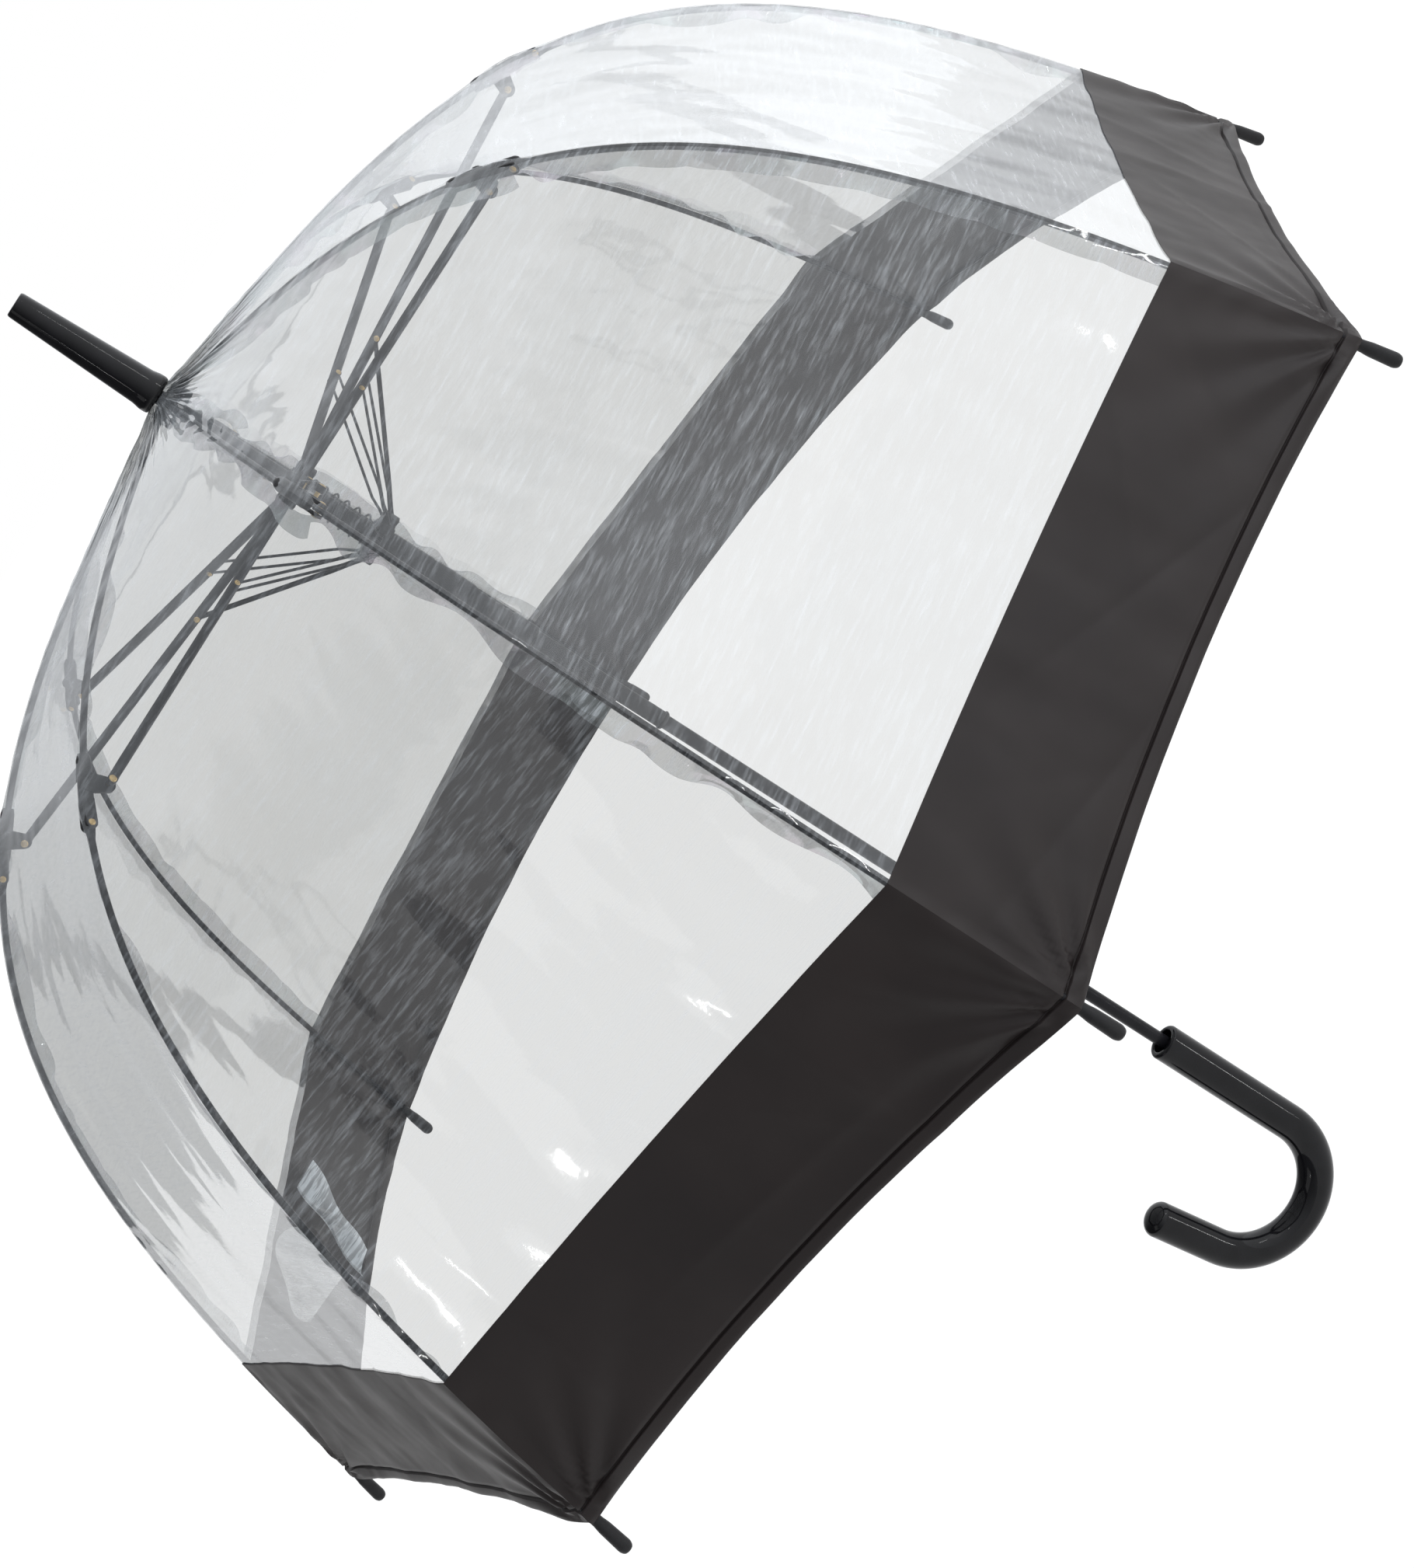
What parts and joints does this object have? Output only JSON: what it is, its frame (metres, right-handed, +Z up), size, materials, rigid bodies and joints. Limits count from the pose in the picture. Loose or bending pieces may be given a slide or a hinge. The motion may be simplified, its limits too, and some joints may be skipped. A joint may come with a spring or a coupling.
{
  "type": "bubble umbrella",
  "caption": "Clear bubble umbrella with a deep dome, a black border, a sprung folding frame, a ferrule and a black crook handle.",
  "frame": {"origin": "on the shaft's axis in the middle of the handle's straight grip, where a hand holds it", "axes": "+Z up along the shaft to the ferrule; the crook bends towards -Y; the release button faces -X; rib 1 lies along +X"},
  "size_m": [0.912, 0.912, 0.9205],
  "materials": {
    "black_steel": "black enamelled steel wire and channel, semi-gloss",
    "spring_steel": "blackened spring wire, semi-gloss",
    "black_plastic": "moulded black nylon, satin",
    "gloss_plastic": "polished black moulded plastic",
    "clear_film": "clear PVC film, glossy, slightly milky, wrinkled at the seams",
    "black_vinyl": "black PVC sheet, soft satin, hemmed",
    "brass": "small brass rivet heads"
  },
  "bodies": {
    "root": {"shaft": "black_steel", "ferrule": "gloss_plastic", "top_notch": "black_plastic", "handle": "gloss_plastic", "button_spring": "spring_steel", "canopy_film": "clear_film", "canopy_border": "black_vinyl"},
    "runner_body": {"runner_crown": "black_plastic", "runner_sleeve": "black_plastic", "opening_spring": "spring_steel"},
    "collar_body": {"strut_collar": "black_plastic"},
    "button_body": {"release_button": "black_plastic"},
    "upper_rib_body_1": {"upper_rib_1": "black_steel", "rib_connector_1": "black_plastic"},
    "lower_rib_body_1": {"lower_rib_1": "black_steel", "tip_cap_1": "black_plastic"},
    "stretcher_body_1": {"stretcher_1": "black_steel"},
    "strut_body_1": {"strut_1": "black_steel"},
    "upper_rib_body_2": {"upper_rib_2": "black_steel", "rib_connector_2": "black_plastic"},
    "lower_rib_body_2": {"lower_rib_2": "black_steel", "tip_cap_2": "black_plastic"},
    "stretcher_body_2": {"stretcher_2": "black_steel"},
    "strut_body_2": {"strut_2": "black_steel"},
    "upper_rib_body_3": {"upper_rib_3": "black_steel", "rib_connector_3": "black_plastic"},
    "lower_rib_body_3": {"lower_rib_3": "black_steel", "tip_cap_3": "black_plastic"},
    "stretcher_body_3": {"stretcher_3": "black_steel"},
    "strut_body_3": {"strut_3": "black_steel"},
    "upper_rib_body_4": {"upper_rib_4": "black_steel", "rib_connector_4": "black_plastic"},
    "lower_rib_body_4": {"lower_rib_4": "black_steel", "tip_cap_4": "black_plastic"},
    "stretcher_body_4": {"stretcher_4": "black_steel"},
    "strut_body_4": {"strut_4": "black_steel"},
    "upper_rib_body_5": {"upper_rib_5": "black_steel", "rib_connector_5": "black_plastic"},
    "lower_rib_body_5": {"lower_rib_5": "black_steel", "tip_cap_5": "black_plastic"},
    "stretcher_body_5": {"stretcher_5": "black_steel"},
    "strut_body_5": {"strut_5": "black_steel"},
    "upper_rib_body_6": {"upper_rib_6": "black_steel", "rib_connector_6": "black_plastic"},
    "lower_rib_body_6": {"lower_rib_6": "black_steel", "tip_cap_6": "black_plastic"},
    "stretcher_body_6": {"stretcher_6": "black_steel"},
    "strut_body_6": {"strut_6": "black_steel"},
    "upper_rib_body_7": {"upper_rib_7": "black_steel", "rib_connector_7": "black_plastic"},
    "lower_rib_body_7": {"lower_rib_7": "black_steel", "tip_cap_7": "black_plastic"},
    "stretcher_body_7": {"stretcher_7": "black_steel"},
    "strut_body_7": {"strut_7": "black_steel"},
    "upper_rib_body_8": {"upper_rib_8": "black_steel", "rib_connector_8": "black_plastic"},
    "lower_rib_body_8": {"lower_rib_8": "black_steel", "tip_cap_8": "black_plastic"},
    "stretcher_body_8": {"stretcher_8": "black_steel"},
    "strut_body_8": {"strut_8": "black_steel"}
  },
  "joints": [
    {"name": "runner_slide", "type": "slide", "parent": "root", "child": "runner_body", "axis": [0, 0, 1], "range_m": [-0.37782, 0], "stiffness_N_per_m": 80, "springref_m": 0.19},
    {"name": "collar_slide", "type": "slide", "parent": "runner_body", "child": "collar_body", "axis": [0, 0, 1], "range_m": [0, 0.0354], "deforming": ["opening_spring"]},
    {"name": "button_rocker", "type": "hinge", "parent": "root", "child": "button_body", "pos_m": [-0.01, 0, 0.0275], "axis": [0, 1, 0], "range_deg": [-8, 0], "stiffness_Nm_per_rad": 0.5, "springref_deg": 8.59, "deforming": ["button_spring"]},
    {"name": "rib_hinge_1", "type": "hinge", "parent": "root", "child": "upper_rib_body_1", "pos_m": [0.009, 0, 0.725], "axis": [0, 1, 0], "range_deg": [0, 72.04]},
    {"name": "rib_elbow_1", "type": "hinge", "parent": "upper_rib_body_1", "child": "lower_rib_body_1", "pos_m": [0.2564, 0, 0.66442], "axis": [0, 1, 0], "range_deg": [-45, 0]},
    {"name": "stretcher_hinge_1", "type": "hinge", "parent": "runner_body", "child": "stretcher_body_1", "pos_m": [0.01, 0, 0.647], "axis": [0, 1, 0], "range_deg": [-82.22, 0]},
    {"name": "strut_hinge_1", "type": "hinge", "parent": "collar_body", "child": "strut_body_1", "pos_m": [0.014, 0, 0.596], "axis": [0, 1, 0], "range_deg": [-51.82, 0]},
    {"name": "rib_hinge_2", "type": "hinge", "parent": "root", "child": "upper_rib_body_2", "pos_m": [0.00636, 0.00636, 0.725], "axis": [-0.7071, 0.7071, 0], "range_deg": [0, 72.04]},
    {"name": "rib_elbow_2", "type": "hinge", "parent": "upper_rib_body_2", "child": "lower_rib_body_2", "pos_m": [0.1813, 0.1813, 0.66442], "axis": [-0.7071, 0.7071, 0], "range_deg": [-45, 0]},
    {"name": "stretcher_hinge_2", "type": "hinge", "parent": "runner_body", "child": "stretcher_body_2", "pos_m": [0.00707, 0.00707, 0.647], "axis": [-0.7071, 0.7071, 0], "range_deg": [-82.22, 0]},
    {"name": "strut_hinge_2", "type": "hinge", "parent": "collar_body", "child": "strut_body_2", "pos_m": [0.0099, 0.0099, 0.596], "axis": [-0.7071, 0.7071, 0], "range_deg": [-51.82, 0]},
    {"name": "rib_hinge_3", "type": "hinge", "parent": "root", "child": "upper_rib_body_3", "pos_m": [0, 0.009, 0.725], "axis": [-1, 0, 0], "range_deg": [0, 72.04]},
    {"name": "rib_elbow_3", "type": "hinge", "parent": "upper_rib_body_3", "child": "lower_rib_body_3", "pos_m": [0, 0.2564, 0.66442], "axis": [-1, 0, 0], "range_deg": [-45, 0]},
    {"name": "stretcher_hinge_3", "type": "hinge", "parent": "runner_body", "child": "stretcher_body_3", "pos_m": [0, 0.01, 0.647], "axis": [-1, 0, 0], "range_deg": [-82.22, 0]},
    {"name": "strut_hinge_3", "type": "hinge", "parent": "collar_body", "child": "strut_body_3", "pos_m": [0, 0.014, 0.596], "axis": [-1, 0, 0], "range_deg": [-51.82, 0]},
    {"name": "rib_hinge_4", "type": "hinge", "parent": "root", "child": "upper_rib_body_4", "pos_m": [-0.00636, 0.00636, 0.725], "axis": [-0.7071, -0.7071, 0], "range_deg": [0, 72.04]},
    {"name": "rib_elbow_4", "type": "hinge", "parent": "upper_rib_body_4", "child": "lower_rib_body_4", "pos_m": [-0.1813, 0.1813, 0.66442], "axis": [-0.7071, -0.7071, 0], "range_deg": [-45, 0]},
    {"name": "stretcher_hinge_4", "type": "hinge", "parent": "runner_body", "child": "stretcher_body_4", "pos_m": [-0.00707, 0.00707, 0.647], "axis": [-0.7071, -0.7071, 0], "range_deg": [-82.22, 0]},
    {"name": "strut_hinge_4", "type": "hinge", "parent": "collar_body", "child": "strut_body_4", "pos_m": [-0.0099, 0.0099, 0.596], "axis": [-0.7071, -0.7071, 0], "range_deg": [-51.82, 0]},
    {"name": "rib_hinge_5", "type": "hinge", "parent": "root", "child": "upper_rib_body_5", "pos_m": [-0.009, 0, 0.725], "axis": [0, -1, 0], "range_deg": [0, 72.04]},
    {"name": "rib_elbow_5", "type": "hinge", "parent": "upper_rib_body_5", "child": "lower_rib_body_5", "pos_m": [-0.2564, 0, 0.66442], "axis": [0, -1, 0], "range_deg": [-45, 0]},
    {"name": "stretcher_hinge_5", "type": "hinge", "parent": "runner_body", "child": "stretcher_body_5", "pos_m": [-0.01, 0, 0.647], "axis": [0, -1, 0], "range_deg": [-82.22, 0]},
    {"name": "strut_hinge_5", "type": "hinge", "parent": "collar_body", "child": "strut_body_5", "pos_m": [-0.014, 0, 0.596], "axis": [0, -1, 0], "range_deg": [-51.82, 0]},
    {"name": "rib_hinge_6", "type": "hinge", "parent": "root", "child": "upper_rib_body_6", "pos_m": [-0.00636, -0.00636, 0.725], "axis": [0.7071, -0.7071, 0], "range_deg": [0, 72.04]},
    {"name": "rib_elbow_6", "type": "hinge", "parent": "upper_rib_body_6", "child": "lower_rib_body_6", "pos_m": [-0.1813, -0.1813, 0.66442], "axis": [0.7071, -0.7071, 0], "range_deg": [-45, 0]},
    {"name": "stretcher_hinge_6", "type": "hinge", "parent": "runner_body", "child": "stretcher_body_6", "pos_m": [-0.00707, -0.00707, 0.647], "axis": [0.7071, -0.7071, 0], "range_deg": [-82.22, 0]},
    {"name": "strut_hinge_6", "type": "hinge", "parent": "collar_body", "child": "strut_body_6", "pos_m": [-0.0099, -0.0099, 0.596], "axis": [0.7071, -0.7071, 0], "range_deg": [-51.82, 0]},
    {"name": "rib_hinge_7", "type": "hinge", "parent": "root", "child": "upper_rib_body_7", "pos_m": [0, -0.009, 0.725], "axis": [1, 0, 0], "range_deg": [0, 72.04]},
    {"name": "rib_elbow_7", "type": "hinge", "parent": "upper_rib_body_7", "child": "lower_rib_body_7", "pos_m": [0, -0.2564, 0.66442], "axis": [1, 0, 0], "range_deg": [-45, 0]},
    {"name": "stretcher_hinge_7", "type": "hinge", "parent": "runner_body", "child": "stretcher_body_7", "pos_m": [0, -0.01, 0.647], "axis": [1, 0, 0], "range_deg": [-82.22, 0]},
    {"name": "strut_hinge_7", "type": "hinge", "parent": "collar_body", "child": "strut_body_7", "pos_m": [0, -0.014, 0.596], "axis": [1, 0, 0], "range_deg": [-51.82, 0]},
    {"name": "rib_hinge_8", "type": "hinge", "parent": "root", "child": "upper_rib_body_8", "pos_m": [0.00636, -0.00636, 0.725], "axis": [0.7071, 0.7071, 0], "range_deg": [0, 72.04]},
    {"name": "rib_elbow_8", "type": "hinge", "parent": "upper_rib_body_8", "child": "lower_rib_body_8", "pos_m": [0.1813, -0.1813, 0.66442], "axis": [0.7071, 0.7071, 0], "range_deg": [-45, 0]},
    {"name": "stretcher_hinge_8", "type": "hinge", "parent": "runner_body", "child": "stretcher_body_8", "pos_m": [0.00707, -0.00707, 0.647], "axis": [0.7071, 0.7071, 0], "range_deg": [-82.22, 0]},
    {"name": "strut_hinge_8", "type": "hinge", "parent": "collar_body", "child": "strut_body_8", "pos_m": [0.0099, -0.0099, 0.596], "axis": [0.7071, 0.7071, 0], "range_deg": [-51.82, 0]}
  ],
  "couplings": [
    {"joint": "collar_slide", "follows": "runner_slide", "ratio": -0.09342},
    {"joint": "rib_hinge_1", "follows": "runner_slide", "rad_per_m": -3.3252},
    {"joint": "rib_elbow_1", "follows": "runner_slide", "rad_per_m": 2.0761},
    {"joint": "stretcher_hinge_1", "follows": "runner_slide", "rad_per_m": 3.7956},
    {"joint": "strut_hinge_1", "follows": "runner_slide", "rad_per_m": 2.3911},
    {"joint": "rib_hinge_2", "follows": "runner_slide", "rad_per_m": -3.3252},
    {"joint": "rib_elbow_2", "follows": "runner_slide", "rad_per_m": 2.0761},
    {"joint": "stretcher_hinge_2", "follows": "runner_slide", "rad_per_m": 3.7956},
    {"joint": "strut_hinge_2", "follows": "runner_slide", "rad_per_m": 2.3911},
    {"joint": "rib_hinge_3", "follows": "runner_slide", "rad_per_m": -3.3252},
    {"joint": "rib_elbow_3", "follows": "runner_slide", "rad_per_m": 2.0761},
    {"joint": "stretcher_hinge_3", "follows": "runner_slide", "rad_per_m": 3.7956},
    {"joint": "strut_hinge_3", "follows": "runner_slide", "rad_per_m": 2.3911},
    {"joint": "rib_hinge_4", "follows": "runner_slide", "rad_per_m": -3.3252},
    {"joint": "rib_elbow_4", "follows": "runner_slide", "rad_per_m": 2.0761},
    {"joint": "stretcher_hinge_4", "follows": "runner_slide", "rad_per_m": 3.7956},
    {"joint": "strut_hinge_4", "follows": "runner_slide", "rad_per_m": 2.3911},
    {"joint": "rib_hinge_5", "follows": "runner_slide", "rad_per_m": -3.3252},
    {"joint": "rib_elbow_5", "follows": "runner_slide", "rad_per_m": 2.0761},
    {"joint": "stretcher_hinge_5", "follows": "runner_slide", "rad_per_m": 3.7956},
    {"joint": "strut_hinge_5", "follows": "runner_slide", "rad_per_m": 2.3911},
    {"joint": "rib_hinge_6", "follows": "runner_slide", "rad_per_m": -3.3252},
    {"joint": "rib_elbow_6", "follows": "runner_slide", "rad_per_m": 2.0761},
    {"joint": "stretcher_hinge_6", "follows": "runner_slide", "rad_per_m": 3.7956},
    {"joint": "strut_hinge_6", "follows": "runner_slide", "rad_per_m": 2.3911},
    {"joint": "rib_hinge_7", "follows": "runner_slide", "rad_per_m": -3.3252},
    {"joint": "rib_elbow_7", "follows": "runner_slide", "rad_per_m": 2.0761},
    {"joint": "stretcher_hinge_7", "follows": "runner_slide", "rad_per_m": 3.7956},
    {"joint": "strut_hinge_7", "follows": "runner_slide", "rad_per_m": 2.3911},
    {"joint": "rib_hinge_8", "follows": "runner_slide", "rad_per_m": -3.3252},
    {"joint": "rib_elbow_8", "follows": "runner_slide", "rad_per_m": 2.0761},
    {"joint": "stretcher_hinge_8", "follows": "runner_slide", "rad_per_m": 3.7956},
    {"joint": "strut_hinge_8", "follows": "runner_slide", "rad_per_m": 2.3911}
  ]
}
